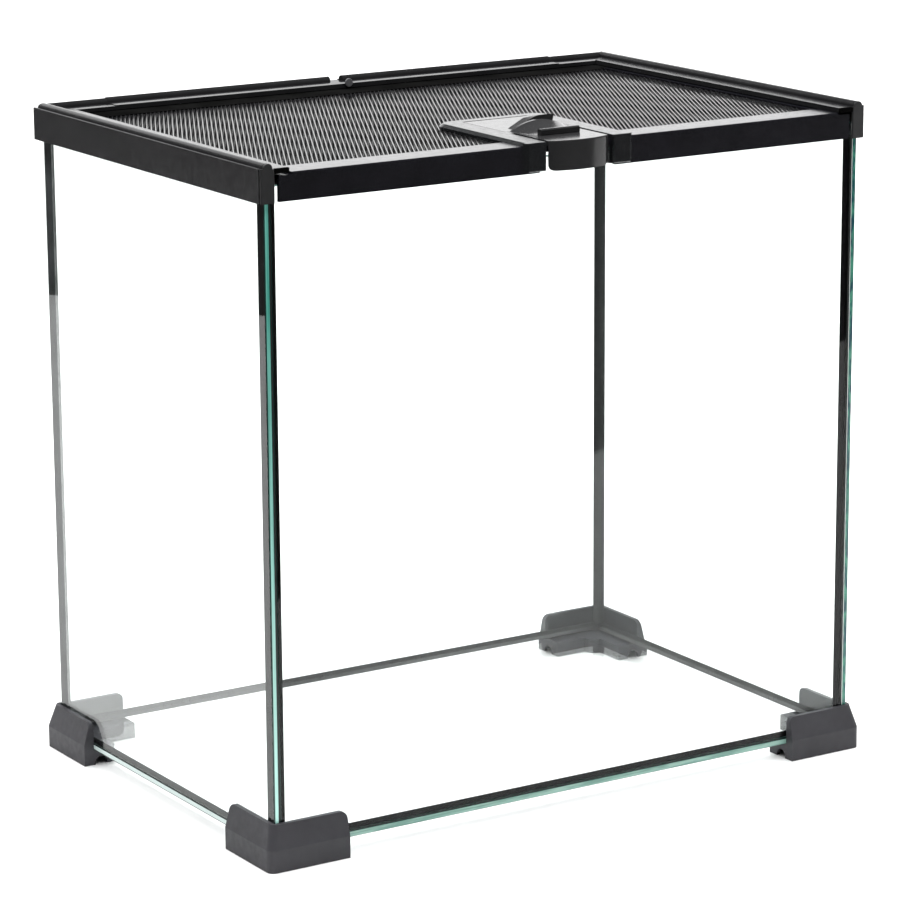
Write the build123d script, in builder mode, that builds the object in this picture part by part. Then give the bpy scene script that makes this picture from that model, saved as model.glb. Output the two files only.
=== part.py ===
from build123d import *
import os
from math import hypot

# Reptile terrarium: a glued glass tank on four moulded feet, a three-sided top frame that is open at
# the front, and a framed mesh lid that slides out to the front with a small feeding hatch in it.
# Millimetres. Origin on the floor under the middle of the tank, X right, Y back, Z up.

# ---------------------------------------------------------------- driving dimensions
# glass tank
tank_width = 443.0
tank_depth = 293.0
glass_thickness = 4.0
glass_arris = 0.4
floor_underside = 10.5
side_glass_top = 426.0
front_glass_drop = 1.0

# silicone
seal_film = 0.8
floor_film = 0.5
seal_leg = 4.4
seal_side_leg = 6.6
seal_hollow = 1.8
seal_drop = 9.2

# corner feet, measured from the foot's own outer corner
foot_overhang = 7.1
foot_arm = 57.0
foot_height = 29.7
foot_vertical = 14.4
foot_lean = 4.1
foot_base_width = 25.0
foot_corner_radius = 5.0
foot_end_radius = 4.5
foot_wall = 2.6
foot_nub_radius = 8.0
foot_arch_radius = 4.5
foot_arch_spring = 1.0

# top frame rails, measured inwards from the rail's outer face and up or down from the side glass's top
rail_overhang = 3.5
rail_drop = 10.9
rail_rise = 10.2
rail_body_width = 9.8
rail_skirt = 2.0
rail_skirt_drop = 8.9
slot_side_play = 0.3
lip_reach = 19.7
lip_drop = 0.5
lip_thickness = 3.0
lip_edge_radius = 1.4
groove_height = 5.5
groove_floor_thickness = 1.5
bead_radius = 3.0
bead_inset = 5.2
shoulder_radius = 0.6
chamber_wall = 2.0
chamber_rise = 2.3
chamber_roof = 2.2

# cable notch in the rear rail and the button beside it
notch_width = 10.0
rear_corner_length = 50.5
corner_bead_drop = 0.5
button_radius = 2.9
button_thickness = 1.2
button_x = 2.4
button_rise = 0.5

# rail end caps and the pegs that join the frame
cap_thickness = 1.8
cap_step = 0.3
cap_edge_chamfer = 0.6
peg_length = 8.0

# lid frame
lid_bar_proud = 0.3
lid_bar_height = 17.4
lid_bar_depth = 21.5
lid_bar_skin = 2.5
lid_bar_end_gap = 2.1
lid_bar_end_step = 1.6
lid_bar_step_play = 2.0
lid_bar_bevel = 0.8
lid_bar_rib = 2.0
lid_side_width = 13.6
lid_rear_width = 25.6
lid_rear_slope = 5.0
lid_rear_fall = 0.6
rabbet = 6.8

# mesh: an expanded sheet drawn with large diamonds, and the frame that clamps it
mesh_recess = 0.8
mesh_thickness = 0.9
diamond_short = 20.4
diamond_long = 39.0
strand_width = 2.6
retainer_thickness = 1.6

# hatch frame, its lengths measured back from the front of the top frame
hatch_proud = 2.0
hatch_length = 104.0
hatch_half_width = 40.6
hatch_bevel = 2.4
hatch_bevel_height = 1.8
hatch_corner_radius = 11.0
hatch_rim = 2.4
hatch_core_half_width = 28.0
hatch_ledge_rise = 0.5
hatch_core_rise = 0.6
bracket_proud = 3.0
bracket_short = 1.2
bracket_chamfer = 2.9
bracket_edge_radius = 1.0
bracket_lining_reach = 1.3
port_half_width = 20.0
port_reach = 50.0
port_length = 39.5
port_corner_radius = 4.0
clamp_half_width = 36.0

# hatch door
door_half_width = 24.0
door_reach = 45.4
door_thickness = 2.8
hinge_reach = 92.6
pin_radius = 0.75
pin_reach = 2.2
lip_left = -15.2
lip_right = 13.4
lip_ramp = 10.6
lip_ramp_rise = 5.4
lip_rise = 8.4
lip_end_rise = 7.8
lip_depth = 9.0
lip_undercut = 1.6
lip_root = 1.0
lip_bow = 1.6
lip_fall = 2.6

# hatch latch
latch_half_width = 22.2
latch_channel_half_width = 25.3
latch_short = 0.7
latch_skin = 2.4
latch_edge = 0.5
latch_bulge = 4.8
latch_corner_radius = 4.0
latch_top_radius = 0.8
shoulder_length = 8.0
runner_reach = 1.3
runner_height = 1.1
runner_length = 14.0
thumb_bar_half_width = 14.5
thumb_bar_reach = 21.0
thumb_bar_depth = 4.0
thumb_bar_rise = 4.0
thumb_bar_radius = 1.6
thumb_rib_count = 3
thumb_rib_height = 0.7
thumb_rib_proud = 0.3
mound_half_width = 20.9
mound_rise = 6.1
mound_low = 0.8
mound_rim = 2.0
mound_scoop = 0.8

# clearances
slide_clearance = 0.3
door_gap = 0.4
hinge_gap = 0.6
pin_clearance = 0.06
peg_clearance = 0.2
lid_side_play = 0.6
lid_top_play = 0.5
lid_floor_play = 0.4

# ---------------------------------------------------------------- derived places
half_width = tank_width / 2
half_depth = tank_depth / 2
inner_half_width = half_width - glass_thickness
inner_half_depth = half_depth - glass_thickness
floor_top = floor_underside + glass_thickness
wall_bottom = floor_top + floor_film
front_glass_top = side_glass_top - front_glass_drop
seal_top = side_glass_top - seal_drop
frame_half_width = half_width + rail_overhang
frame_half_depth = half_depth + rail_overhang
frame_front = -frame_half_depth
bore_half_width = frame_half_width - rail_body_width
bore_half_depth = frame_half_depth - rail_body_width
rear_strip_half_length = frame_half_width - rear_corner_length
rail_bottom = side_glass_top - rail_drop
rail_skirt_bottom = side_glass_top - rail_skirt_drop
rail_shoulder = side_glass_top + rail_rise
lip_top = rail_shoulder - lip_drop
lip_underside = lip_top - lip_thickness
groove_floor = lip_underside - groove_height
groove_floor_underside = groove_floor - groove_floor_thickness
chamber_bottom = side_glass_top + chamber_rise
chamber_top = rail_shoulder - chamber_roof
button_z = lip_top + button_rise
lid_side_outer = bore_half_width - lid_side_play
lid_side_inner = lid_side_outer - lid_side_width
lid_bar_half_width = lid_side_outer - lid_bar_end_gap
lid_rear_outer = bore_half_depth - lid_side_play
lid_rear_inner = lid_rear_outer - lid_rear_width
lid_bar_rear = frame_front + lid_bar_depth
lid_skirt_back = frame_front + lid_bar_skin
lid_bar_top = lip_underside + lid_bar_proud
lid_bar_bottom = lid_bar_top - lid_bar_height
lid_frame_top = lip_underside - lid_top_play
lid_frame_bottom = groove_floor + lid_floor_play
mesh_top = lid_frame_top - mesh_recess
mesh_underside = mesh_top - mesh_thickness
mesh_half_width = lid_side_inner + rabbet
mesh_rear = lid_rear_inner + rabbet
mesh_front = lid_bar_rear - rabbet
retainer_bottom = mesh_underside - retainer_thickness
hatch_top = lid_bar_top + hatch_proud
hatch_rear = frame_front + hatch_length
hatch_ledge = mesh_top + hatch_ledge_rise
hatch_core_bottom = lid_frame_bottom + hatch_core_rise
bracket_bottom = lid_bar_bottom + bracket_short
port_front = frame_front + port_reach
port_rear = port_front + port_length
door_front = frame_front + door_reach
hinge_y = frame_front + hinge_reach
hinge_z = hatch_top - door_thickness / 2
pocket_rear = hinge_y + door_thickness / 2 + hinge_gap
core_rear = pocket_rear + hatch_rim
pin_half_length = door_half_width + door_gap + pin_reach
latch_rear = door_front - door_gap
latch_back = frame_front - door_gap
latch_bottom = lid_bar_bottom + latch_short
moving_underside = hatch_ledge + slide_clearance
thumb_bar_y = frame_front + thumb_bar_reach

os.makedirs("parts", exist_ok=True)


def save(part, name):
    """Labels a finished piece and writes its STEP file."""
    part.label = name
    export_step(part, f"parts/{name}.step")


def cuboid(x, y, z, mode=Mode.ADD):
    """A rectangular pad or pocket of the part being built, between two limits along each axis."""
    with Locations((sum(x) / 2, sum(y) / 2, sum(z) / 2)):
        Box(x[1] - x[0], y[1] - y[0], z[1] - z[0], mode=mode)


def mirror_image(name, original, *planes):
    """A piece that is another one reflected in the tank's middle planes."""
    with BuildPart() as image:
        add(original)
        for plane in planes:
            mirror(about=plane, mode=Mode.REPLACE)
    save(image.part, name)
    return image.part


# ---------------------------------------------------------------- glass
def pane(name, size, x, y, bottom):
    """One pane with seamed edges, standing on the given height."""
    with BuildPart() as glass:
        with Locations((x, y, bottom)):
            Box(*size, align=(Align.CENTER, Align.CENTER, Align.MIN))
        chamfer(glass.edges(), glass_arris)
    save(glass.part, name)


side_size = (glass_thickness, tank_depth, side_glass_top - wall_bottom)
back_size = (2 * (inner_half_width - seal_film), glass_thickness, side_glass_top - wall_bottom)
front_size = (back_size[0], glass_thickness, front_glass_top - wall_bottom)
side_x = half_width - glass_thickness / 2
end_y = half_depth - glass_thickness / 2
pane("bottom_glass", (tank_width, tank_depth, glass_thickness), 0, 0, floor_underside)
pane("left_glass", side_size, -side_x, 0, wall_bottom)
pane("right_glass", side_size, side_x, 0, wall_bottom)
pane("back_glass", back_size, 0, end_y, wall_bottom)
pane("front_glass", front_size, 0, -end_y, wall_bottom)

# ---------------------------------------------------------------- silicone
# Each corner seal is the film between two panes and the tooled fillet inside them.
film_x = -inner_half_width
pane_x = -inner_half_width + seal_film
film_y = -half_depth + glass_arris
with BuildPart() as corner_seal_front_left:
    with BuildSketch(Plane.XY.offset(wall_bottom)):
        with BuildLine():
            toe_x = pane_x + seal_leg
            toe_y = -inner_half_depth + seal_side_leg
            Polyline((film_x, toe_y), (film_x, film_y), (pane_x, film_y), (pane_x, -inner_half_depth),
                     (toe_x, -inner_half_depth))
            ThreePointArc((toe_x, -inner_half_depth),
                          (pane_x + seal_hollow, -inner_half_depth + seal_hollow), (film_x, toe_y))
        make_face()
    extrude(amount=seal_top - wall_bottom)
save(corner_seal_front_left.part, "corner_seal_front_left")
corner_seals = [
    corner_seal_front_left.part,
    mirror_image("corner_seal_front_right", corner_seal_front_left.part, Plane.YZ),
    mirror_image("corner_seal_back_left", corner_seal_front_left.part, Plane.XZ),
    mirror_image("corner_seal_back_right", corner_seal_front_left.part, Plane.YZ, Plane.XZ),
]

# The floor seal is the film under the four walls and a tooled fillet round the inside of the floor.
with BuildPart() as floor_seal:
    with BuildSketch(Plane.XY.offset(floor_top)):
        Rectangle(tank_width - 2 * glass_arris, tank_depth - 2 * glass_arris)
    extrude(amount=floor_film)
    with BuildSketch(Plane.XY.offset(floor_top)):
        Rectangle(2 * inner_half_width, 2 * inner_half_depth)
    extrude(amount=seal_leg)
    with BuildSketch(Plane.XY.offset(floor_top)):
        Rectangle(2 * (inner_half_width - seal_leg), 2 * (inner_half_depth - seal_leg))
    with BuildSketch(Plane.XY.offset(floor_top + seal_hollow)):
        Rectangle(2 * (inner_half_width - seal_hollow), 2 * (inner_half_depth - seal_hollow))
    with BuildSketch(Plane.XY.offset(floor_top + seal_leg)):
        Rectangle(2 * inner_half_width - glass_arris, 2 * inner_half_depth - glass_arris)
    loft(ruled=True, mode=Mode.SUBTRACT)
    add(corner_seals, mode=Mode.SUBTRACT)
save(floor_seal.part, "floor_seal")

# ---------------------------------------------------------------- feet
# The front left foot is drawn from its outer corner, its arms along +X and +Y.
foot_corner = Plane((-half_width - foot_overhang, -half_depth - foot_overhang, 0))
foot_cell = (foot_arm - foot_base_width - 2 * foot_wall) / 2
foot_channel = foot_base_width - 2 * foot_wall


def foot_outline(height, inset):
    """The outer outline of the foot at one height, its outer corner rounded."""
    with BuildSketch(foot_corner.offset(height)) as outline:
        with Locations((inset, inset)):
            Rectangle(foot_arm - inset, foot_arm - inset, align=(Align.MIN, Align.MIN))
        fillet(outline.vertices().group_by(Axis.Y)[0].sort_by(Axis.X)[0], foot_corner_radius)
    return outline.sketch


with BuildPart() as foot_front_left:
    extrude(foot_outline(0, 0), amount=foot_vertical)
    loft([foot_outline(foot_vertical, 0), foot_outline(foot_height, foot_lean)])
    # the channel that the glass corner stands in
    with BuildSketch(foot_corner.offset(floor_underside)):
        with Locations((foot_overhang, foot_overhang)):
            Rectangle(foot_arm, foot_arm, align=(Align.MIN, Align.MIN))
    extrude(amount=foot_height, mode=Mode.SUBTRACT)
    # the open inner corner of the base, with a round nub left in it
    with BuildSketch(foot_corner):
        with Locations((foot_base_width, foot_base_width)):
            Rectangle(foot_arm, foot_arm, align=(Align.MIN, Align.MIN))
            Circle(foot_nub_radius, mode=Mode.SUBTRACT)
    extrude(amount=floor_underside, mode=Mode.SUBTRACT)
    # the hollow underside: one cell in the corner and two along each arm
    with BuildSketch(foot_corner):
        with Locations((foot_wall, foot_wall)):
            Rectangle(foot_channel, foot_channel, align=(Align.MIN, Align.MIN))
        for cell in range(2):
            along = foot_base_width + cell * (foot_cell + foot_wall)
            with Locations((along, foot_wall)):
                Rectangle(foot_cell, foot_channel, align=(Align.MIN, Align.MIN))
            with Locations((foot_wall, along)):
                Rectangle(foot_channel, foot_cell, align=(Align.MIN, Align.MIN))
    extrude(amount=floor_underside - foot_wall, mode=Mode.SUBTRACT)
    # a small arch through the end wall of each arm
    arm_end = foot_arm - foot_wall / 2
    with Locations(foot_corner.origin + Vector(arm_end, foot_base_width / 2, foot_arch_spring)):
        Cylinder(foot_arch_radius, foot_wall, rotation=(0, 90, 0), mode=Mode.SUBTRACT)
    with Locations(foot_corner.origin + Vector(foot_base_width / 2, arm_end, foot_arch_spring)):
        Cylinder(foot_arch_radius, foot_wall, rotation=(90, 0, 0), mode=Mode.SUBTRACT)
    # the round top corners of the two walls
    for along, across in ((Axis.Y, Axis.X), (Axis.X, Axis.Y)):
        end_edges = foot_front_left.edges().filter_by(along).group_by(across)[-1]
        fillet(end_edges.sort_by(Axis.Z)[-1], foot_end_radius)
save(foot_front_left.part, "foot_front_left")
mirror_image("foot_front_right", foot_front_left.part, Plane.YZ)
mirror_image("foot_back_left", foot_front_left.part, Plane.XZ)
mirror_image("foot_back_right", foot_front_left.part, Plane.YZ, Plane.XZ)

# ---------------------------------------------------------------- top frame
slot_near = rail_overhang - slot_side_play
slot_far = rail_body_width - rail_skirt
bead_start = bead_inset - bead_radius
bead_end = bead_inset + bead_radius
frame_height = rail_shoulder + bead_radius
mitre_corner = Vector(-frame_half_width, frame_half_depth)
mitre_reach = frame_half_width - rear_strip_half_length
mitre_inside = mitre_corner + Vector(mitre_reach, -mitre_reach)
peg_low = chamber_bottom + peg_clearance
peg_high = chamber_top - peg_clearance
peg_near = chamber_wall + peg_clearance
peg_far = slot_far - peg_clearance
side_plane = Plane((-frame_half_width, frame_front, 0), x_dir=(1, 0, 0), z_dir=(0, -1, 0))
rear_plane = Plane((rear_strip_half_length, frame_half_depth, 0), x_dir=(0, -1, 0), z_dir=(-1, 0, 0))
corner_plane = Plane((-rear_strip_half_length, frame_half_depth, 0), x_dir=(0, -1, 0), z_dir=(-1, 0, 0))


def rail_section(plane, drop=0.0, hollow=True):
    """The rail's section on a plane whose X runs inwards from the outer face and whose Y is up."""
    shoulder = rail_shoulder - drop
    flange = lip_top - drop
    with BuildSketch(plane) as section:
        with BuildLine():
            Polyline((bead_start, shoulder), (0, shoulder), (0, rail_bottom), (slot_near, rail_bottom),
                     (slot_near, side_glass_top), (slot_far, side_glass_top),
                     (slot_far, rail_skirt_bottom), (rail_body_width, rail_skirt_bottom),
                     (rail_body_width, groove_floor_underside), (lip_reach, groove_floor_underside),
                     (lip_reach, groove_floor), (rail_body_width, groove_floor),
                     (rail_body_width, lip_underside), (lip_reach, lip_underside),
                     (lip_reach, flange), (bead_end, flange), (bead_end, shoulder))
            ThreePointArc((bead_end, shoulder), (bead_inset, shoulder + bead_radius),
                          (bead_start, shoulder))
        make_face()
        corners = section.vertices()
        fillet(corners.sort_by_distance((0, shoulder))[0], shoulder_radius)
        fillet(corners.sort_by_distance((lip_reach, flange))[0], lip_edge_radius)
        if hollow:
            with Locations(((chamber_wall + slot_far) / 2, (chamber_bottom + chamber_top) / 2)):
                Rectangle(slot_far - chamber_wall, chamber_top - chamber_bottom, mode=Mode.SUBTRACT)
    return section.sketch


def mitre_wedge(third):
    """The block on one side of the rear left mitre, given the third corner of its plan."""
    with BuildPart() as wedge:
        with BuildSketch(Plane.XY.offset(rail_bottom)):
            with BuildLine():
                Polyline(mitre_corner, mitre_inside, third, close=True)
            make_face()
        extrude(amount=frame_height - rail_bottom)
    return wedge.part


with BuildPart() as left_rail:
    extrude(rail_section(side_plane), amount=-2 * frame_half_depth)
    add(mitre_wedge((mitre_inside.X, mitre_corner.Y)), mode=Mode.SUBTRACT)
    # the recess for the end cap, and the way cleared for the front glass and the lid's skirt
    cuboid((-frame_half_width, -bore_half_width), (frame_front, frame_front + cap_thickness),
           (rail_bottom, frame_height), mode=Mode.SUBTRACT)
    cuboid((-frame_half_width + slot_far, -bore_half_width),
           (frame_front, -inner_half_depth + slide_clearance),
           (rail_skirt_bottom, groove_floor_underside), mode=Mode.SUBTRACT)
    cuboid((-bore_half_width, -frame_half_width + lip_reach),
           (frame_front, lid_skirt_back + slide_clearance),
           (groove_floor_underside, groove_floor), mode=Mode.SUBTRACT)
save(left_rail.part, "left_rail")
mirror_image("right_rail", left_rail.part, Plane.YZ)

with BuildPart() as rear_rail:
    extrude(rail_section(rear_plane), amount=2 * rear_strip_half_length)
    # the cable notch in the bead
    cuboid((-notch_width / 2, notch_width / 2), (bore_half_depth, frame_half_depth),
           (lip_top, frame_height), mode=Mode.SUBTRACT)
save(rear_rail.part, "rear_rail")

# A rear corner is a short solid length of the same section with a peg into each neighbour.
with BuildPart() as rear_corner_left:
    extrude(rail_section(corner_plane, corner_bead_drop, hollow=False),
            amount=frame_half_width - rear_strip_half_length)
    add(mitre_wedge((mitre_corner.X, mitre_inside.Y)), mode=Mode.SUBTRACT)
    cuboid((-rear_strip_half_length - peg_length, -rear_strip_half_length + peg_length),
           (frame_half_depth - peg_far, frame_half_depth - peg_near), (peg_low, peg_high))
    cuboid((-frame_half_width + peg_near, -frame_half_width + peg_far),
           (frame_half_depth - peg_far - peg_length, frame_half_depth - peg_near), (peg_low, peg_high))
save(rear_corner_left.part, "rear_corner_left")
mirror_image("rear_corner_right", rear_corner_left.part, Plane.YZ)

# An end cap closes the front end of a side rail and plugs into its chamber.
with BuildPart() as rail_end_cap_left:
    with BuildSketch(side_plane):
        with BuildLine():
            Polyline((bead_start, rail_shoulder), (cap_step, rail_shoulder), (cap_step, rail_bottom),
                     (rail_body_width, rail_bottom), (rail_body_width, lip_top), (bead_end, lip_top),
                     (bead_end, rail_shoulder))
            ThreePointArc((bead_end, rail_shoulder), (bead_inset, frame_height),
                          (bead_start, rail_shoulder))
        make_face()
    extrude(amount=-cap_thickness)
    rim = rail_end_cap_left.faces().sort_by(Axis.Y)[0].edges()
    chamfer(rim.filter_by(GeomType.LINE).sort_by(SortBy.LENGTH)[-2:], cap_edge_chamfer)
    cuboid((-frame_half_width + peg_near, -frame_half_width + peg_far),
           (frame_front + cap_thickness, frame_front + cap_thickness + peg_length), (peg_low, peg_high))
save(rail_end_cap_left.part, "rail_end_cap_left")
mirror_image("rail_end_cap_right", rail_end_cap_left.part, Plane.YZ)

with BuildPart() as rear_button:
    with BuildSketch(Plane.XZ.offset(lip_reach - frame_half_depth)):
        with Locations((button_x, button_z)):
            Circle(button_radius)
    extrude(amount=button_thickness)
    fillet(rear_button.faces().sort_by(Axis.Y)[0].edges(), button_thickness / 3)
save(rear_button.part, "rear_button")

# ---------------------------------------------------------------- lid frame
# The front bar is an angle: a deep skirt in front of the glass and a flange with the mesh rabbet.
with BuildPart() as lid_front_bar:
    with BuildSketch(Plane.YZ):
        with BuildLine():
            Polyline((frame_front, lid_bar_bottom), (frame_front, lid_bar_top - lid_bar_bevel),
                     (frame_front + lid_bar_bevel, lid_bar_top), (lid_bar_rear, lid_bar_top),
                     (lid_bar_rear, mesh_top), (mesh_front, mesh_top), (mesh_front, lid_frame_bottom),
                     (mesh_front - lid_bar_rib, lid_frame_bottom),
                     (mesh_front - lid_bar_rib, lid_bar_top - lid_bar_skin),
                     (lid_skirt_back, lid_bar_top - lid_bar_skin), (lid_skirt_back, lid_bar_bottom),
                     close=True)
        make_face()
    extrude(amount=lid_bar_half_width, both=True)
    step_start = frame_half_width - lip_reach - lid_bar_step_play
    for side in (-1, 1):
        # a solid end that runs in the rail's groove, low enough to pass under the lip
        end = sorted((side * mesh_half_width, side * lid_bar_half_width))
        stepped = sorted((side * step_start, side * lid_bar_half_width))
        cuboid(end, (lid_skirt_back, lid_bar_rear), (lid_frame_bottom, lid_bar_top))
        cuboid(stepped, (frame_front, lid_bar_rear), (lid_bar_top - lid_bar_end_step, lid_bar_top),
               mode=Mode.SUBTRACT)
    # the middle: a low strip under the latch, and the skirt left out behind its tongue
    middle = (-hatch_core_half_width, hatch_core_half_width)
    cuboid(middle, (frame_front, lid_bar_rear), (hatch_core_bottom, hatch_ledge))
    cuboid(middle, (frame_front, lid_bar_rear), (hatch_ledge, lid_bar_top), mode=Mode.SUBTRACT)
    cuboid(middle, (frame_front, lid_bar_rear), (lid_bar_bottom, hatch_core_bottom), mode=Mode.SUBTRACT)
save(lid_front_bar.part, "lid_front_bar")

with BuildPart() as lid_left_bar:
    with BuildSketch(Plane.XZ.offset(-lid_bar_rear)):
        with BuildLine():
            Polyline((-lid_side_outer, lid_frame_bottom), (-lid_side_outer, lid_frame_top),
                     (-lid_side_inner, lid_frame_top), (-lid_side_inner, mesh_top),
                     (-mesh_half_width, mesh_top), (-mesh_half_width, lid_frame_bottom), close=True)
        make_face()
    extrude(amount=lid_bar_rear - lid_rear_inner)
save(lid_left_bar.part, "lid_left_bar")
mirror_image("lid_right_bar", lid_left_bar.part, Plane.YZ)

with BuildPart() as lid_rear_bar:
    cuboid((-lid_side_outer, lid_side_outer), (lid_rear_inner, lid_rear_outer),
           (lid_frame_bottom, lid_frame_top))
    cuboid((-mesh_half_width, mesh_half_width), (lid_rear_inner, mesh_rear), (lid_frame_bottom, mesh_top),
           mode=Mode.SUBTRACT)
    # its top slopes down to the mesh
    with BuildSketch(Plane.YZ):
        with BuildLine():
            Polyline((lid_rear_inner, lid_frame_top - lid_rear_fall), (lid_rear_inner, lid_frame_top),
                     (lid_rear_inner + lid_rear_slope, lid_frame_top), close=True)
        make_face()
    extrude(amount=lid_side_inner, both=True, mode=Mode.SUBTRACT)
save(lid_rear_bar.part, "lid_rear_bar")

# ---------------------------------------------------------------- mesh
# A diamond lattice: each opening is the diamond of the pitch, drawn in by half a strand all round.
half_short = diamond_short / 2
half_long = diamond_long / 2
diagonal = hypot(half_short, half_long)
opening_short = half_short - strand_width / 2 * diagonal / half_long
opening_long = half_long - strand_width / 2 * diagonal / half_short
window_depth = lid_rear_inner - lid_bar_rear
window_centre = (lid_rear_inner + lid_bar_rear) / 2
columns = 2 * int(lid_side_inner / diamond_short) + 3
rows = int(window_depth / diamond_long) + 1

with BuildPart() as lid_mesh:
    with BuildSketch(Plane.XY.offset(mesh_underside)):
        with Locations((0, (mesh_rear + mesh_front) / 2)):
            Rectangle(2 * mesh_half_width, mesh_rear - mesh_front)
        with BuildSketch() as openings:
            with Locations((0, window_centre)):
                with GridLocations(diamond_short, diamond_long, columns, rows):
                    Polygon((opening_short, 0), (0, opening_long), (-opening_short, 0), (0, -opening_long))
                with GridLocations(diamond_short, diamond_long, columns - 1, rows - 1):
                    Polygon((opening_short, 0), (0, opening_long), (-opening_short, 0), (0, -opening_long))
                Rectangle(2 * lid_side_inner, window_depth, mode=Mode.INTERSECT)
            with Locations((0, lid_bar_rear)):
                Rectangle(2 * (hatch_core_half_width + strand_width),
                          2 * (core_rear - lid_bar_rear + strand_width), mode=Mode.SUBTRACT)
        add(openings.sketch, mode=Mode.SUBTRACT)
        with Locations((0, mesh_front)):
            Rectangle(2 * hatch_core_half_width, 2 * (core_rear - mesh_front), mode=Mode.SUBTRACT)
    extrude(amount=mesh_thickness)
save(lid_mesh.part, "lid_mesh")

# The retainer clamps the mesh from below, round the edge and round the hatch.
with BuildPart() as mesh_retainer:
    with BuildSketch(Plane.XY.offset(retainer_bottom)):
        with Locations((0, (mesh_rear + mesh_front) / 2)):
            Rectangle(2 * mesh_half_width, mesh_rear - mesh_front)
        with Locations((0, window_centre)):
            Rectangle(2 * lid_side_inner, window_depth, mode=Mode.SUBTRACT)
        with Locations((0, mesh_front)):
            clamp_rear = core_rear + clamp_half_width - hatch_core_half_width
            Rectangle(2 * clamp_half_width, clamp_rear - mesh_front, align=(Align.CENTER, Align.MIN))
            Rectangle(2 * hatch_core_half_width, core_rear - mesh_front, align=(Align.CENTER, Align.MIN),
                      mode=Mode.SUBTRACT)
    extrude(amount=retainer_thickness)
save(mesh_retainer.part, "mesh_retainer")


# ---------------------------------------------------------------- hatch frame
def hatch_outline(height, inset):
    """The plate's outline at one height, drawn in at the sides and the rear, square at the front."""
    half = hatch_half_width - inset
    with BuildSketch(Plane.XY.offset(height)) as outline:
        with Locations((0, frame_front)):
            Rectangle(2 * half, hatch_rear - inset - frame_front, align=(Align.CENTER, Align.MIN))
        fillet(outline.vertices().group_by(Axis.Y)[-1], hatch_corner_radius - inset)
    return outline.sketch


bevel_start = hatch_top - hatch_bevel_height
bracket_front = frame_front - bracket_proud
shoulder_front = latch_rear - shoulder_length
with BuildPart() as hatch_frame:
    extrude(hatch_outline(mesh_top, 0), amount=bevel_start - mesh_top)
    loft([hatch_outline(bevel_start, 0), hatch_outline(hatch_top, hatch_bevel)])
    extrude(hatch_outline(mesh_top, hatch_rim), amount=lid_bar_top - mesh_top, mode=Mode.SUBTRACT)
    # the core that drops through the mesh, and the walls that run on over the front bar
    cuboid(middle, (frame_front, lid_bar_rear), (mesh_top, hatch_ledge), mode=Mode.SUBTRACT)
    cuboid(middle, (lid_bar_rear, core_rear), (hatch_core_bottom, lid_bar_top))
    cuboid(middle, (frame_front, lid_bar_rear), (hatch_ledge, lid_bar_top))
    # the two brackets that wrap the cut ends of the front bar's skirt
    for side in (-1, 1):
        wing = sorted((side * hatch_core_half_width, side * hatch_half_width))
        cuboid(wing, (frame_front, lid_bar_rear), (mesh_top, lid_bar_top), mode=Mode.SUBTRACT)
        with BuildSketch(Plane.XY.offset(bracket_bottom)) as bracket:
            with BuildLine():
                Polyline((side * latch_channel_half_width, frame_front),
                         (side * latch_channel_half_width, bracket_front),
                         (side * (hatch_half_width - bracket_chamfer), bracket_front),
                         (side * hatch_half_width, frame_front), close=True)
            make_face()
        extrude(amount=hatch_top - bracket_bottom)
        lining_inner = latch_channel_half_width - bracket_lining_reach
        lining = sorted((side * lining_inner, side * hatch_core_half_width))
        cuboid(lining, (frame_front, lid_skirt_back + slide_clearance), (bracket_bottom, hatch_core_bottom))
    fillet(hatch_frame.faces().sort_by(Axis.Y)[:2].edges().filter_by(Axis.X), bracket_edge_radius)
    # the pocket of the door, its port and its pin holes
    cuboid((-door_half_width - door_gap, door_half_width + door_gap), (latch_rear, pocket_rear),
           (hatch_ledge, hatch_top), mode=Mode.SUBTRACT)
    with BuildSketch(Plane.XY.offset(hatch_core_bottom)):
        with Locations((0, (port_rear + port_front) / 2)):
            RectangleRounded(2 * port_half_width, port_rear - port_front, port_corner_radius)
    extrude(amount=hatch_ledge - hatch_core_bottom, mode=Mode.SUBTRACT)
    with Locations((0, hinge_y, hinge_z)):
        Cylinder(pin_radius, 2 * pin_half_length, rotation=(0, 90, 0), mode=Mode.SUBTRACT)
    # the channel of the latch, narrow between two overhanging shoulders at its rear end
    cuboid((-latch_channel_half_width, latch_channel_half_width), (bracket_front, shoulder_front),
           (hatch_ledge, hatch_top), mode=Mode.SUBTRACT)
    cuboid((-latch_half_width - slide_clearance, latch_half_width + slide_clearance),
           (shoulder_front, latch_rear), (hatch_ledge, hatch_top), mode=Mode.SUBTRACT)
    cuboid((-latch_channel_half_width, latch_channel_half_width), (shoulder_front, latch_rear),
           (hatch_ledge, moving_underside + runner_height + slide_clearance), mode=Mode.SUBTRACT)
save(hatch_frame.part, "hatch_frame")

with BuildPart() as hatch_hinge_pin:
    with Locations((0, hinge_y, hinge_z)):
        Cylinder(pin_radius, 2 * pin_half_length, rotation=(0, 90, 0))
save(hatch_hinge_pin.part, "hatch_hinge_pin")

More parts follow.
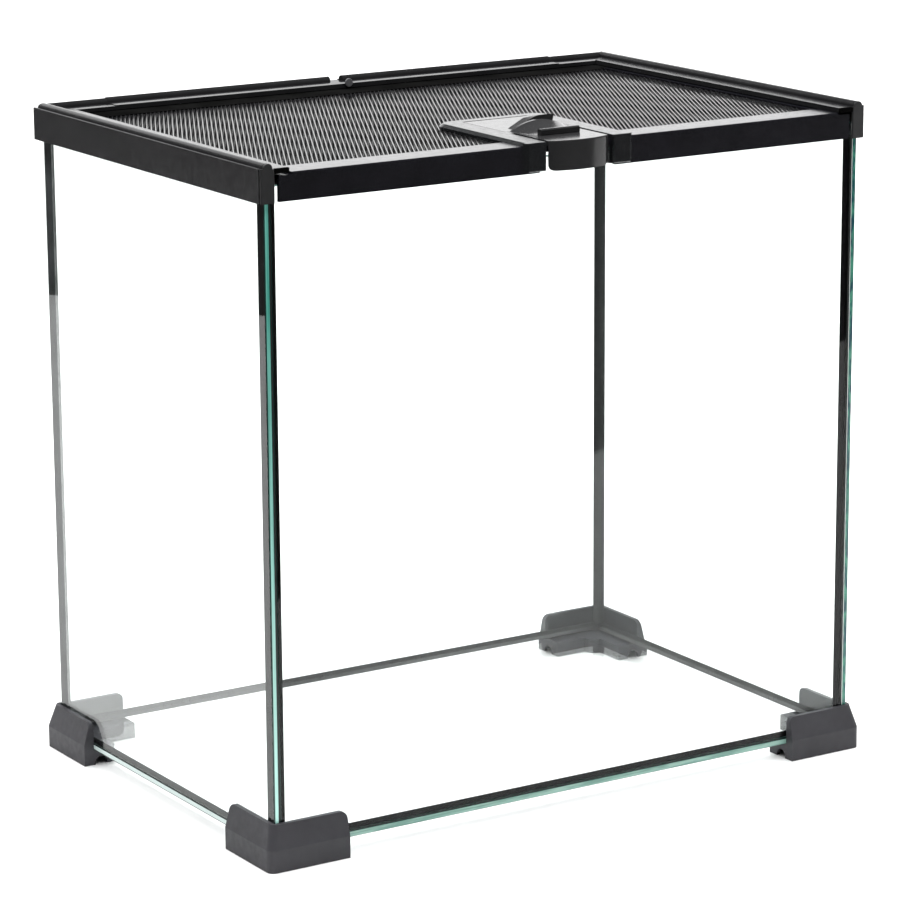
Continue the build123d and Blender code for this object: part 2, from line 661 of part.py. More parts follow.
# ---------------------------------------------------------------- hatch door
# The finger lip climbs a ramp from its left end, crests, and ends steeply at its right end.
lip_front = door_front + slide_clearance + lip_bow / 2
lip_tip = lip_right - lip_undercut
with BuildPart() as finger_lip:
    with BuildSketch(Plane.XZ.offset(-lip_front)):
        with BuildLine():
            ramp_top = (lip_left + lip_ramp, hatch_top + lip_ramp_rise)
            crest = (lip_right / 2, hatch_top + lip_rise)
            Polyline((lip_right, hatch_top + lip_end_rise), (lip_tip, hatch_top),
                     (lip_tip, hatch_top - lip_root), (lip_left, hatch_top - lip_root),
                     (lip_left, hatch_top), ramp_top)
            ThreePointArc(ramp_top, crest, (lip_right, hatch_top + lip_end_rise))
        make_face()
    extrude(amount=-lip_depth)
    # its front is hollowed in plan
    with BuildSketch(Plane.XY.offset(hatch_top)):
        with BuildLine():
            Line((lip_left, lip_front), (lip_right, lip_front))
            ThreePointArc((lip_left, lip_front), (0, lip_front + lip_bow), (lip_right, lip_front))
        make_face()
    extrude(amount=lip_rise, mode=Mode.SUBTRACT)
    # its crest falls away towards the hinge
    with BuildSketch(Plane.YZ):
        with BuildLine():
            lip_rear = lip_front + lip_depth
            lip_crest = hatch_top + lip_rise
            Polyline((lip_front, lip_crest), (lip_front, lip_crest + lip_fall),
                     (lip_rear, lip_crest + lip_fall), (lip_rear, lip_crest - lip_fall), close=True)
        make_face()
    extrude(amount=door_half_width, both=True, mode=Mode.SUBTRACT)

with BuildPart() as hatch_door:
    with BuildSketch(Plane.YZ):
        with Locations((hinge_y, hinge_z)):
            Circle(door_thickness / 2)
        with Locations(((hinge_y + door_front) / 2, hinge_z)):
            Rectangle(hinge_y - door_front, door_thickness)
        with Locations((hinge_y, hinge_z)):
            Circle(pin_radius + pin_clearance, mode=Mode.SUBTRACT)
    extrude(amount=door_half_width, both=True)
    add(finger_lip.part)
save(hatch_door.part, "hatch_door")

# ---------------------------------------------------------------- hatch latch
# The thumb dish rises from the thumb bar to a wide arch at its rear, hollowed a little on the way.
mound_rear = latch_rear - slide_clearance
mound_front = thumb_bar_y + thumb_bar_depth / 2
mound_middle = (mound_rear - mound_rim + mound_front) / 2
mound_middle_half_width = (mound_half_width + thumb_bar_half_width) / 2
mound_middle_rise = (mound_rise + mound_low) / 2 - mound_scoop


def mound_arch(y, half, rise):
    """The upright arch of the thumb dish at one place along the latch."""
    with BuildSketch(Plane.XZ.offset(-y)) as arch:
        with BuildLine():
            Line((-half, hatch_top), (half, hatch_top))
            ThreePointArc((-half, hatch_top), (0, hatch_top + rise), (half, hatch_top))
        make_face()
    return arch.sketch


with BuildPart() as thumb_dish:
    extrude(mound_arch(mound_rear, mound_half_width, mound_rise), amount=mound_rim)
    loft([mound_arch(mound_rear - mound_rim, mound_half_width, mound_rise),
          mound_arch(mound_middle, mound_middle_half_width, mound_middle_rise),
          mound_arch(mound_front, thumb_bar_half_width, mound_low)])

# The thumb bar has a round top and small ribs along its front.
with BuildPart() as thumb_bar:
    cuboid((-thumb_bar_half_width, thumb_bar_half_width),
           (thumb_bar_y - thumb_bar_depth / 2, thumb_bar_y + thumb_bar_depth / 2),
           (hatch_top, hatch_top + thumb_bar_rise))
    fillet(thumb_bar.edges().filter_by(Axis.X).group_by(Axis.Z)[-1], thumb_bar_radius)
    for rib in range(thumb_rib_count):
        rib_z = hatch_top + thumb_bar_rise * (rib + 1) / (thumb_rib_count + 1)
        cuboid((-thumb_bar_half_width, thumb_bar_half_width),
               (thumb_bar_y - thumb_bar_depth / 2 - thumb_rib_proud, thumb_bar_y),
               (rib_z - thumb_rib_height / 2, rib_z + thumb_rib_height / 2))

# The tongue is a bowed plate in front of the bar, hollow behind, its lower corners round.
tongue_edge = latch_back - latch_edge
with BuildPart() as tongue:
    with BuildSketch(Plane.XZ.offset(-latch_back)) as front_view:
        with Locations((0, latch_bottom)):
            Rectangle(2 * latch_half_width, hatch_top - latch_bottom, align=(Align.CENTER, Align.MIN))
        fillet(front_view.vertices().group_by(Axis.Y)[0], latch_corner_radius)
    extrude(amount=latch_edge + latch_bulge)
    with BuildSketch(Plane.XY.offset(latch_bottom)):
        with BuildLine():
            Polyline((-latch_half_width, tongue_edge), (-latch_half_width, latch_back),
                     (latch_half_width, latch_back), (latch_half_width, tongue_edge))
            ThreePointArc((latch_half_width, tongue_edge), (0, tongue_edge - latch_bulge),
                          (-latch_half_width, tongue_edge))
        make_face()
    extrude(amount=hatch_top - latch_bottom, mode=Mode.INTERSECT)
    fillet(tongue.edges().filter_by(GeomType.CIRCLE).sort_by(Axis.Z)[-1], latch_top_radius)
    with BuildSketch(Plane.XY.offset(latch_bottom)):
        with BuildLine():
            hollow_half_width = latch_half_width - latch_skin
            hollow_rise = latch_edge + latch_bulge - latch_skin
            Line((-hollow_half_width, latch_back), (hollow_half_width, latch_back))
            ThreePointArc((-hollow_half_width, latch_back), (0, latch_back - hollow_rise),
                          (hollow_half_width, latch_back))
        make_face()
    extrude(amount=moving_underside - latch_bottom, mode=Mode.SUBTRACT)

with BuildPart() as hatch_latch:
    cuboid((-latch_half_width, latch_half_width), (latch_back, latch_rear), (moving_underside, hatch_top))
    cuboid((-latch_half_width - runner_reach, latch_half_width + runner_reach),
           (latch_rear - runner_length, latch_rear), (moving_underside, moving_underside + runner_height))
    add(tongue.part)
    add(thumb_dish.part)
    add(thumb_bar.part)
save(hatch_latch.part, "hatch_latch")
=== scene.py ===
import math
from fnmatch import fnmatchcase

import bpy
from mathutils import Matrix, Vector


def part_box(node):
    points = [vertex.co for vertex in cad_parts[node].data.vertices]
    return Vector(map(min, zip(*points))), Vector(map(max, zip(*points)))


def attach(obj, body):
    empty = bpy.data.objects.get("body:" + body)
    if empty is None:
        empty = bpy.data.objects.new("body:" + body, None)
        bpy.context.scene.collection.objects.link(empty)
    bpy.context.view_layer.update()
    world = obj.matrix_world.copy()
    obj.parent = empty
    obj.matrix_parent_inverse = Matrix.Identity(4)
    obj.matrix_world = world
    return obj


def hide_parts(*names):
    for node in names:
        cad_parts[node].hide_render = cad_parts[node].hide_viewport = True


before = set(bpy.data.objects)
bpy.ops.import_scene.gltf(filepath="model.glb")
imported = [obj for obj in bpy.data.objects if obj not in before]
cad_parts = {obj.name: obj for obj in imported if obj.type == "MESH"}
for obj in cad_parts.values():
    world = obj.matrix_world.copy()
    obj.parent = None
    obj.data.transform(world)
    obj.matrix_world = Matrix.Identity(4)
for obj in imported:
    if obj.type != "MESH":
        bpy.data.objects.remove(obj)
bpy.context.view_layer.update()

MM = 0.001

# ---------------------------------------------------------------- the photograph's camera
# The fit to the photograph gives the camera's place in widths of the glass, and its angles in radians.
GLASS_WIDTH = 0.443
CAMERA_POSITION = Vector((-2.9442, -4.6729, 1.8093)) * GLASS_WIDTH
CAMERA_YAW = 0.5622
CAMERA_PITCH = 0.2387
CAMERA_ROLL = -0.0063
FOCAL_PIXELS = 3789.65
FRAME_PIXELS = 900
SENSOR_WIDTH = 36.0
CLIP_END = 50.0

# ---------------------------------------------------------------- the expanded mesh of the lid
MESH_SHORT_PITCH = 3.105 * MM
MESH_LONG_PITCH = 5.95 * MM
MESH_THICKNESS = 0.9 * MM
STRAND_HALF_WIDTH = 0.33 * MM
BOND_HALF_WIDTH = 0.36 * MM
# The strands of one family lie lower, and dip and tilt between their bonds.
CROSS_STRAND_DROP = 0.42 * MM
CROSS_STRAND_DIP = 0.15 * MM
CROSS_STRAND_TILT = 0.22 * MM
LONGEST_STRAND = 1.0
# The mesh stops inside the lid's bars and is cut away under the hatch.
MESH_EDGE_INSET = 4.0 * MM
HATCH_HALF_WIDTH = 28.2 * MM
HATCH_REAR = -52.8 * MM
# It is made in bands side by side, so that each stays small enough for the export.
MESH_BANDS = 3
# Along y, its paint gives way to painted shade between these two places, darker and without gloss, where the
# mesh would mirror the dark rear bead.
MESH_PAINTED_SHADE_FROM = 55.0 * MM
MESH_PAINTED_SHADE_TO = 135.0 * MM

# ---------------------------------------------------------------- the plastics
PLASTIC_IOR = 1.5
DUST_SCALE = 38.0
DUST_DETAIL = 4.0
SHEEN_SCALE = 210.0
GRAIN_DETAIL = 2.0
# The rear lip leans to the front by this slope, and the rails end in painted shadow at their caps: a
# near-black band for the shade in the slit between rail and cap.
LIP_LEAN = 0.13
RAIL_SHADOW_GAP = -147.8 * MM
PAINTED_SHADOW_BLACK = (0.004, 0.004, 0.004)

# Each material: its darkest and lightest colour, its least and greatest roughness, and other settings.
PLASTICS = {
    # the rails' ends are painted near black: painted shadow at their caps
    "frame_plastic": ((0.014, 0.014, 0.015), (0.018, 0.018, 0.019), (0.2, 0.25), {"shadow_gap": RAIL_SHADOW_GAP}),
    "rear_plastic": ((0.013, 0.013, 0.014), (0.018, 0.018, 0.019), (0.12, 0.16), {"lean": LIP_LEAN}),
    "cap_plastic": ((0.022, 0.022, 0.023), (0.028, 0.028, 0.029), (0.3, 0.4), {"bump": 0.008 * MM}),
    "foot_plastic": ((0.041, 0.040, 0.045), (0.048, 0.047, 0.053), (0.5, 0.6),
                     {"bump": 0.012 * MM, "specular": 0.3}),
    "lid_plastic": ((0.006, 0.006, 0.008), (0.009, 0.009, 0.012), (0.16, 0.2), {}),
    # the lid's rear bar is near black and without sheen: painted shade where it would mirror the dark rear
    # bead
    "rear_bar_painted_shade": ((0.003, 0.003, 0.003), (0.006, 0.006, 0.006), (0.35, 0.45), {"specular": 0.0}),
    "plate_plastic": ((0.008, 0.009, 0.010), (0.011, 0.012, 0.013), (0.17, 0.22), {}),
    "latch_plastic": ((0.022, 0.022, 0.023), (0.028, 0.028, 0.029), (0.13, 0.17), {}),
    "silicone": ((0.005, 0.005, 0.005), (0.009, 0.009, 0.009), (0.3, 0.5),
                 {"grain": 300.0, "bump": 0.05 * MM}),
    "grey_silicone": ((0.02, 0.021, 0.022), (0.05, 0.052, 0.054), (0.3, 0.5),
                      {"grain": 300.0, "bump": 0.05 * MM}),
    "button_plastic": ((0.1, 0.1, 0.105), (0.13, 0.13, 0.135), (0.4, 0.5), {}),
    "pin_steel": ((0.3, 0.3, 0.31), (0.36, 0.36, 0.37), (0.3, 0.4), {}),
}
# The mesh's glossy paint, and the painted shade that replaces it at the back: colours, roughness and
# specular level.
MESH_PAINT_AND_PAINTED_SHADE = (
    ((0.017, 0.017, 0.018), (0.023, 0.023, 0.024), (0.08, 0.11), 0.2),
    ((0.008, 0.008, 0.009), (0.012, 0.012, 0.013), (0.3, 0.4), 0.0),
)
# The material of each CAD node but the glass: the first name that fits counts.
FINISHES = (
    ("corner_seal_back_left", "grey_silicone"),
    ("*seal*", "silicone"),
    ("foot*", "foot_plastic"),
    ("*cap*", "cap_plastic"),
    ("rear_button", "button_plastic"),
    ("rear*", "rear_plastic"),
    ("*rail", "frame_plastic"),
    ("hatch_hinge_pin", "pin_steel"),
    ("lid_mesh", "mesh_paint_and_painted_shade"),
    ("hatch_latch", "latch_plastic"),
    ("hatch_door", "latch_plastic"),
    ("hatch_frame", "plate_plastic"),
    ("lid_rear_bar", "rear_bar_painted_shade"),
    ("*", "lid_plastic"),
)

# ---------------------------------------------------------------- the glass
SQUARE_ON = 0.9
GLASS_IOR = 1.5
GLASS_TINT = (0.975, 0.99, 0.985)
GLASS_SHADE = (0.95, 0.97, 0.965)
EDGE_ROUGHNESS = 0.15
SEAMED_ROUGHNESS = 0.2
EDGE_CLOUD_SCALE = 2.2
EDGE_CLOUD_DETAIL = 5.0
EDGE_CLOUD_RANGE = (0.4, 0.6)
EDGE_GRAIN = 6.0
EDGE_GRAIN_ACROSS = 260.0
# where on its height a pane's edge takes on its painted highlight
LOW_EDGE_HIGHLIGHT_RANGE = (0.1, 0.8)
WHITE = (1.0, 1.0, 1.0)
DARK_EDGE = (0.01, 0.035, 0.03)
PALE_EDGE = (0.55, 0.64, 0.62)
# the colour of the painted highlight on the lower part of an edge
LOW_EDGE_HIGHLIGHT = (0.62, 0.92, 0.86)
WALL_EDGE = {"axis": 1, "dark": (0.08, 0.34, 0.29), "light": (0.22, 0.58, 0.48), "glow": 0.25,
             "end": DARK_EDGE}
# Each pane: the axis across it, and its settings as the functions glass and edge_colour explain them.
PANES = {
    # the left pane's edge carries a painted highlight, lighter towards the bottom
    "left_glass": {"axis": 0, "dark": (0.05, 0.28, 0.22), "light": (0.16, 0.48, 0.40), "glow": 0.24,
                   "first_band": (0.22, DARK_EDGE), "last_band": (0.79, DARK_EDGE), "low_highlight": 0.6},
    # the right pane's edge is painted white along its inner side: a painted highlight on its arris
    "right_glass": {"axis": 0, "dark": (0.01, 0.06, 0.08), "light": (0.06, 0.26, 0.18), "glow": 0.02,
                    "first_band": (0.18, WHITE), "grain": 60.0},
    "front_glass": {**WALL_EDGE, "ior": 1.33},
    "back_glass": WALL_EDGE,
    "bottom_glass": {"axis": 2, "dark": (0.14, 0.28, 0.235), "light": (0.26, 0.43, 0.37), "glow": 0.08,
                     "first_band": (0.2, DARK_EDGE), "end": PALE_EDGE, "ior": 1.14, "grain": 20.0,
                     "tint": WHITE, "shade": WHITE},
}

# ---------------------------------------------------------------- the studio
# The sheet of white paper ends in front along the line that the front pane mirrors in the photograph.
FLOOR_CORNERS = ((-1.73, 0.2), (-1.75, -0.2), (-0.6, -0.25), (0.074, -0.668), (1.036, -1.186), (2.6, -1.9),
                 (4.6, 2.0), (3.4, 4.9), (1.1, 4.9))
FLOOR_DARK = (0.9, 0.9, 0.9)
FLOOR_LIGHT = (0.93, 0.93, 0.93)
FLOOR_ROUGHNESS = 0.9
FLOOR_CLOUD_SCALE = 3.0
FLOOR_CLOUD_DETAIL = 2.0
# The surroundings are bright where they are seen straight or through glass, and dim as light and in mirrors.
WORLD_SEEN = 1.3
WORLD_DIM = 0.12
# Each light: name, place, target, width, height, power in watts, and whether glossy surfaces mirror it.
LIGHTS = (
    ("backdrop_light", (1.9, 4.9, 1.7), (1.9, 0.0, 1.7), 7.2, 3.4, 127.0, True),
    ("top_light", (0.5, 0.6, 2.8), (0.5, 0.6, 0.0), 5.2, 5.2, 385.0, False),
)


def place_camera():
    """Puts the camera where the photograph was taken from."""
    cos_pitch, sin_pitch = math.cos(CAMERA_PITCH), math.sin(CAMERA_PITCH)
    cos_yaw, sin_yaw = math.cos(CAMERA_YAW), math.sin(CAMERA_YAW)
    cos_roll, sin_roll = math.cos(CAMERA_ROLL), math.sin(CAMERA_ROLL)
    forward = Vector((sin_yaw * cos_pitch, cos_yaw * cos_pitch, -sin_pitch))
    level_right = Vector((cos_yaw, -sin_yaw, 0.0))
    level_up = level_right.cross(forward)
    right = cos_roll * level_right + sin_roll * level_up
    up = cos_roll * level_up - sin_roll * level_right
    data = bpy.data.cameras.new("camera")
    data.sensor_width = SENSOR_WIDTH
    data.lens = SENSOR_WIDTH * FOCAL_PIXELS / FRAME_PIXELS
    data.clip_end = CLIP_END
    camera = bpy.data.objects.new("camera", data)
    bpy.context.scene.collection.objects.link(camera)
    turn = Matrix((right, up, -forward)).transposed().to_4x4()
    camera.matrix_world = Matrix.Translation(CAMERA_POSITION) @ turn
    bpy.context.scene.camera = camera


# ---------------------------------------------------------------- materials
class Nodes:
    """The node tree of a material or of the world, with short calls to add and link nodes."""

    def __init__(self, block, output="ShaderNodeOutputMaterial"):
        block.use_nodes = True
        self.block = block
        self.tree = block.node_tree
        self.tree.nodes.clear()
        self.output = self.add(output)

    def add(self, kind, **settings):
        """Adds a node. A setting is a property of the node, or else an input, its spaces written as _."""
        node = self.tree.nodes.new(kind)
        for key, value in settings.items():
            if hasattr(node, key):
                setattr(node, key, value)
            else:
                node.inputs[key.replace("_", " ")].default_value = value
        return node

    def link(self, source, target):
        """Links two sockets."""
        self.tree.links.new(source, target)

    def finish(self, shader):
        """Shows a shader on the surface and gives back the material or world."""
        self.link(shader, self.output.inputs["Surface"])
        return self.block

    def split(self, vector):
        """The three parts of a vector."""
        node = self.add("ShaderNodeSeparateXYZ")
        self.link(vector, node.inputs[0])
        return node.outputs

    def coordinates(self, kind):
        """Texture coordinates: Object is the part's frame, and Generated runs from 0 to 1 over the piece."""
        return self.add("ShaderNodeTexCoord").outputs[kind]

    def math(self, operation, *values):
        """A maths node. Each value is a socket or a number."""
        node = self.add("ShaderNodeMath", operation=operation)
        for socket, value in zip(node.inputs, values):
            if isinstance(value, float):
                socket.default_value = value
            else:
                self.link(value, socket)
        return node.outputs[0]

    def mix(self, fac, first, second):
        """Mixes two shaders by a factor from 0 to 1."""
        node = self.add("ShaderNodeMixShader")
        for socket, value in zip(node.inputs, (fac, first, second)):
            self.link(value, socket)
        return node.outputs[0]

    def noise(self, scale, detail=3.0, stretch=(1.0, 1.0, 1.0)):
        """Noise in the part's frame, its coordinates stretched along the axes."""
        mapping = self.add("ShaderNodeMapping", Scale=stretch)
        self.link(self.coordinates("Object"), mapping.inputs["Vector"])
        noise = self.add("ShaderNodeTexNoise", Scale=scale, Detail=detail)
        self.link(mapping.outputs[0], noise.inputs["Vector"])
        return noise.outputs["Fac"]

    def ramp(self, fac, low, high, start=0.35, end=0.65):
        """Maps a factor from the range between start and end to the range between low and high."""
        node = self.add("ShaderNodeMapRange", From_Min=start, From_Max=end, To_Min=low, To_Max=high)
        self.link(fac, node.inputs["Value"])
        return node.outputs["Result"]

    def colour(self, fac, first, second):
        """Blends two colours by a factor from 0 to 1. The first may be a socket."""
        node = self.add("ShaderNodeMix", data_type="RGBA")
        inputs = [socket for socket in node.inputs if socket.type == "RGBA"]
        if isinstance(first, tuple):
            inputs[0].default_value = (*first, 1.0)
        else:
            self.link(first, inputs[0])
        inputs[1].default_value = (*second, 1.0)
        self.link(fac, node.inputs["Factor"])
        return next(socket for socket in node.outputs if socket.type == "RGBA")

    def mottled(self, dark, light, rough, specular):
        """A plastic or painted shader with faint dust in its colour and slight changes of sheen."""
        shader = self.add("ShaderNodeBsdfPrincipled", IOR=PLASTIC_IOR, Specular_IOR_Level=specular)
        dust = self.ramp(self.noise(DUST_SCALE, DUST_DETAIL), 0.0, 1.0)
        self.link(self.colour(dust, dark, light), shader.inputs["Base Color"])
        self.link(self.ramp(self.noise(SHEEN_SCALE), *rough), shader.inputs["Roughness"])
        return shader


def black_plastic(name, dark, light, rough, grain=2600.0, bump=0.004 * MM, specular=0.5,
                  lean=None, shadow_gap=None):
    """Moulded or extruded plastic with a fine grain.

    The lean shades level faces as if they sloped to the front. In front of the shadow line the plastic is
    painted
    near black and matt: painted shadow for the slit between rail and cap.
    """
    n = Nodes(bpy.data.materials.new(name))
    shader = n.mottled(dark, light, rough, specular)
    along_y = n.split(n.coordinates("Object"))[1]
    height = n.math("MULTIPLY", n.noise(grain, GRAIN_DETAIL), bump)
    if lean:
        height = n.math("ADD", height, n.math("MULTIPLY", along_y, lean))
    relief = n.add("ShaderNodeBump", Strength=1.0, Distance=1.0)
    n.link(height, relief.inputs["Height"])
    n.link(relief.outputs[0], shader.inputs["Normal"])
    surface = shader.outputs[0]
    # painted shadow: a matt near-black band in front of the line stands for the shade in the slit at the cap
    if shadow_gap:
        painted_shadow_bsdf = n.add("ShaderNodeBsdfDiffuse", Roughness=0.5, Color=(*PAINTED_SHADOW_BLACK, 1.0))
        surface = n.mix(n.math("LESS_THAN", along_y, shadow_gap), surface, painted_shadow_bsdf.outputs[0])
    return n.finish(surface)


def mesh_coat(name):
    """Black paint on the mesh: glossy in front, and towards the back painted shade, darker and without
    gloss, where the mesh would mirror the dark rear bead.
    """
    n = Nodes(bpy.data.materials.new(name))
    coats = [n.mottled(*paint).outputs[0] for paint in MESH_PAINT_AND_PAINTED_SHADE]
    along_y = n.split(n.coordinates("Object"))[1]
    # painted shade: the glossy coat turns darker and loses its gloss towards the back
    painted_shade = n.ramp(along_y, 0.0, 1.0, MESH_PAINTED_SHADE_FROM, MESH_PAINTED_SHADE_TO)
    return n.finish(n.mix(painted_shade, *coats))


def edge_colour(n, facing, axis, dark, light, first_band, last_band, end, low_highlight, grain):
    """The colour of a pane's cut edge: green, uneven along its length and across its thickness.

    A band is a share of the thickness, and the colour up to there or beyond it. A pane across x also has a
    painted highlight, lighter towards the bottom. On the other panes the end is the colour where the edge
    faces sideways, and the first band lies only there.
    """
    place = n.split(n.coordinates("Generated"))
    stretch = [grain, grain, grain]
    stretch[axis] = EDGE_GRAIN_ACROSS
    cloud = n.noise(EDGE_CLOUD_SCALE, EDGE_CLOUD_DETAIL, tuple(stretch))
    hue = n.colour(n.ramp(cloud, 0.0, 1.0, *EDGE_CLOUD_RANGE), dark, light)
    if axis == 0:
        # painted highlight: the edge turns lighter towards the bottom
        hue = n.colour(n.ramp(place[2], low_highlight, 0.0, *LOW_EDGE_HIGHLIGHT_RANGE), hue, LOW_EDGE_HIGHLIGHT)
    else:
        sideways = n.math("GREATER_THAN", facing[0], SQUARE_ON)
        hue = n.colour(sideways, hue, end)
    if first_band:
        share, colour = first_band
        band = n.math("LESS_THAN", place[axis], share)
        if axis != 0:
            band = n.math("MULTIPLY", sideways, band)
        hue = n.colour(band, hue, colour)
    if last_band:
        share, colour = last_band
        hue = n.colour(n.math("GREATER_THAN", place[axis], share), hue, colour)
    return hue


def glass(name, axis, dark, light, glow, first_band=None, last_band=None, end=None, low_highlight=0.0,
          ior=GLASS_IOR, grain=EDGE_GRAIN, tint=GLASS_TINT, shade=GLASS_SHADE):
    """Clear float glass: refracts on the faces across the axis, and is green where a cut edge shows.

    The tint is the colour of what is seen through it, and the shade that of the light it lets through. The
    cut edge glows a little, for the light that the pane leads to it, and is dark at its seamed corners.
    """
    n = Nodes(bpy.data.materials.new(name))
    lens = n.add("ShaderNodeBsdfGlass", Roughness=0.0, IOR=ior, Color=(*tint, 1.0))
    clear = n.add("ShaderNodeBsdfTransparent", Color=(*shade, 1.0))
    path = n.add("ShaderNodeLightPath")
    unseen = n.math("MAXIMUM", path.outputs["Is Shadow Ray"], path.outputs["Is Diffuse Ray"])
    face = n.mix(unseen, lens.outputs[0], clear.outputs[0])

    geometry = n.add("ShaderNodeNewGeometry")
    facing = [n.math("ABSOLUTE", part) for part in n.split(geometry.outputs["True Normal"])]
    hue = edge_colour(n, facing, axis, dark, light, first_band, last_band, end, low_highlight, grain)
    cut = n.add("ShaderNodeBsdfPrincipled", Roughness=EDGE_ROUGHNESS, IOR=GLASS_IOR, Emission_Strength=glow)
    n.link(hue, cut.inputs["Base Color"])
    n.link(hue, cut.inputs["Emission Color"])
    seamed = n.add("ShaderNodeBsdfPrincipled", Roughness=SEAMED_ROUGHNESS, IOR=GLASS_IOR,
                   Base_Color=(*DARK_EDGE, 1.0))
    squarest = n.math("MAXIMUM", n.math("MAXIMUM", facing[0], facing[1]), facing[2])
    rim = n.mix(n.math("GREATER_THAN", squarest, SQUARE_ON), seamed.outputs[0], cut.outputs[0])
    outside = n.mix(geometry.outputs["Backfacing"], rim, clear.outputs[0])
    return n.finish(n.mix(n.math("GREATER_THAN", facing[axis], SQUARE_ON), outside, face))


def dress_nodes(materials):
    """Gives every CAD node its material."""
    for node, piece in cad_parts.items():
        if node in PANES:
            material = glass(node + "_face", **PANES[node])
        else:
            material = next(materials[finish] for fitting, finish in FINISHES if fnmatchcase(node, fitting))
        piece.data.materials.clear()
        piece.data.materials.append(material)


# ---------------------------------------------------------------- expanded mesh
def clip_line(offset, along, across, low, high):
    """The stretch of a line, at an offset across it, that lies in a box in plan, as distances along it."""
    start, end = -LONGEST_STRAND, LONGEST_STRAND
    for axis in range(2):
        base = offset * across[axis]
        crossings = sorted((side[axis] - base) / along[axis] for side in (low, high))
        start, end = max(start, crossings[0]), min(end, crossings[1])
    return start, end


def strand_stations(start, end, pitch, shift):
    """Stops along a strand, and whether each is a bond: its ends, the bonds and the middles between them."""
    step = pitch / 2
    first = math.ceil((start - shift) / step)
    last = math.floor((end - shift) / step)
    return [(start, False), *((shift + k * step, k % 2 == 0) for k in range(first, last + 1)), (end, False)]


def add_strand(vertices, faces, stations, offset, along, across, top, crossing):
    """Adds a strand: a bar that runs through its stations and is left out under the hatch."""
    ring = None
    for distance, bond in stations:
        middle = offset * across + distance * along
        if abs(middle.x) < HATCH_HALF_WIDTH and middle.y < HATCH_REAR:
            ring = None
            continue
        half = BOND_HALF_WIDTH if bond else STRAND_HALF_WIDTH
        dip = CROSS_STRAND_DIP if crossing and not bond else 0.0
        tilt = CROSS_STRAND_TILT if crossing and not bond else 0.0
        if crossing:
            dip += CROSS_STRAND_DROP
        corners = []
        for sign, z in ((1, top - dip - tilt), (-1, top - dip + tilt),
                        (-1, top - MESH_THICKNESS), (1, top - MESH_THICKNESS)):
            place = middle + sign * half * across
            corners.append(len(vertices))
            vertices.append((place.x, place.y, z))
        if ring:
            for k in range(4):
                m = (k + 1) % 4
                faces.append((ring[k], ring[m], corners[m], corners[k]))
        ring = corners


def expanded_mesh(name, low, high, top, material):
    """A band of expanded metal: two families of strands that cross and merge at the bonds."""
    half_short, half_long = MESH_SHORT_PITCH / 2, MESH_LONG_PITCH / 2
    pitch = math.hypot(half_short, half_long)
    spacing = 2 * half_short * half_long / pitch
    reach = int((abs(low[0]) + abs(low[1]) + abs(high[0]) + abs(high[1])) / spacing)
    vertices, faces = [], []
    for family in (1, -1):
        along = Vector((family * half_short / pitch, half_long / pitch))
        across = Vector((half_long / pitch, -family * half_short / pitch))
        for line in range(-reach, reach + 1):
            offset = line * spacing
            start, end = clip_line(offset, along, across, low, high)
            if end - start >= pitch / 2:
                # the bonds of every second line lie half a pitch along
                stations = strand_stations(start, end, pitch, line % 2 * pitch / 2)
                add_strand(vertices, faces, stations, offset, along, across, top, crossing=family == -1)
    data = bpy.data.meshes.new(name)
    data.from_pydata(vertices, [], faces)
    data.materials.append(material)
    piece = bpy.data.objects.new(name, data)
    bpy.context.scene.collection.objects.link(piece)
    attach(piece, "lid")
    return piece


def lay_mesh(material):
    """Puts the expanded metal in the place of the lid's plain mesh."""
    mesh_low, mesh_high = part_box("lid_mesh")
    left, right = mesh_low[0] + MESH_EDGE_INSET, mesh_high[0] - MESH_EDGE_INSET
    front, rear = mesh_low[1] + MESH_EDGE_INSET, mesh_high[1] - MESH_EDGE_INSET
    width = (right - left) / MESH_BANDS
    for band in range(MESH_BANDS):
        low = (left + band * width, front)
        high = (left + (band + 1) * width, rear)
        strands = expanded_mesh(f"expanded_mesh_{band + 1}", low, high, mesh_high[2], material)
        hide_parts("lid_mesh")


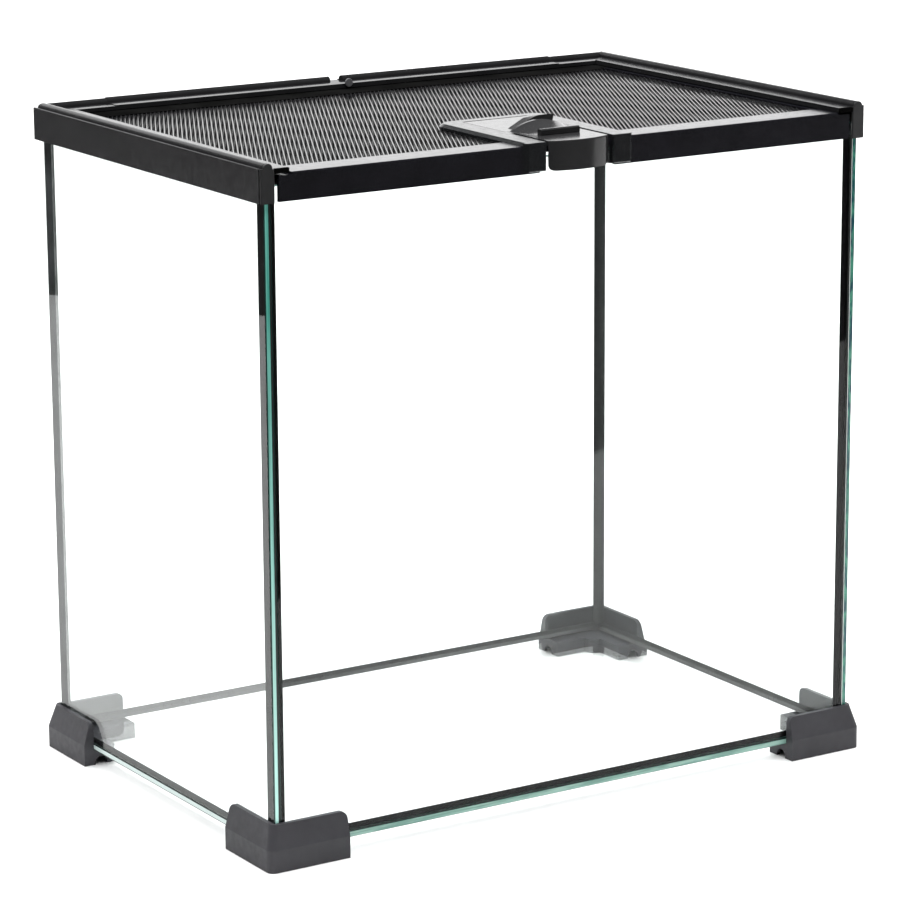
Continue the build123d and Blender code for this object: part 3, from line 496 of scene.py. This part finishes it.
# ---------------------------------------------------------------- stage
def lay_floor():
    """A sheet of white paper under the object, as in a product studio."""
    n = Nodes(bpy.data.materials.new("floor_paper"))
    shader = n.add("ShaderNodeBsdfPrincipled", Roughness=FLOOR_ROUGHNESS)
    cloud = n.ramp(n.noise(FLOOR_CLOUD_SCALE, FLOOR_CLOUD_DETAIL), 0.0, 1.0)
    n.link(n.colour(cloud, FLOOR_DARK, FLOOR_LIGHT), shader.inputs["Base Color"])
    data = bpy.data.meshes.new("floor")
    data.from_pydata([(*corner, 0.0) for corner in FLOOR_CORNERS], [], [tuple(range(len(FLOOR_CORNERS)))])
    data.materials.append(n.finish(shader.outputs[0]))
    floor = bpy.data.objects.new("floor", data)
    bpy.context.scene.collection.objects.link(floor)


def surround():
    """The surroundings: white where the camera sees them, straight or through glass that mirrors nothing."""
    n = Nodes(bpy.data.worlds.new("studio"), "ShaderNodeOutputWorld")
    seen = n.add("ShaderNodeBackground", Color=(*WHITE, 1.0), Strength=WORLD_SEEN)
    dim = n.add("ShaderNodeBackground", Strength=WORLD_DIM)
    path = n.add("ShaderNodeLightPath").outputs
    unmirrored = n.math("LESS_THAN", path["Glossy Depth"], 0.5)
    through = n.math("MULTIPLY", path["Is Transmission Ray"], unmirrored)
    direct = n.math("MAXIMUM", path["Is Camera Ray"], through)
    bpy.context.scene.world = n.finish(n.mix(direct, dim.outputs[0], seen.outputs[0]))


def place_lights():
    """A bright sheet behind the object, and a soft one over it."""
    for name, place, target, width, height, power, mirrored in LIGHTS:
        lamp = bpy.data.lights.new(name, "AREA")
        lamp.shape = "RECTANGLE"
        lamp.size = width
        lamp.size_y = height
        lamp.energy = power
        light = bpy.data.objects.new(name, lamp)
        light.location = place
        light.rotation_euler = (Vector(target) - Vector(place)).to_track_quat("-Z", "Y").to_euler()
        light.visible_camera = False
        light.visible_glossy = mirrored
        bpy.context.scene.collection.objects.link(light)


place_camera()
bpy.context.scene.view_settings.view_transform = "Standard"

# the mesh's material carries painted shade towards the back
materials = {"mesh_paint_and_painted_shade": mesh_coat("mesh_paint_and_painted_shade")}
for name, (dark, light, rough, settings) in PLASTICS.items():
    materials[name] = black_plastic(name, dark, light, rough, **settings)
dress_nodes(materials)
lay_mesh(materials["mesh_paint_and_painted_shade"])

lay_floor()
surround()
place_lights()
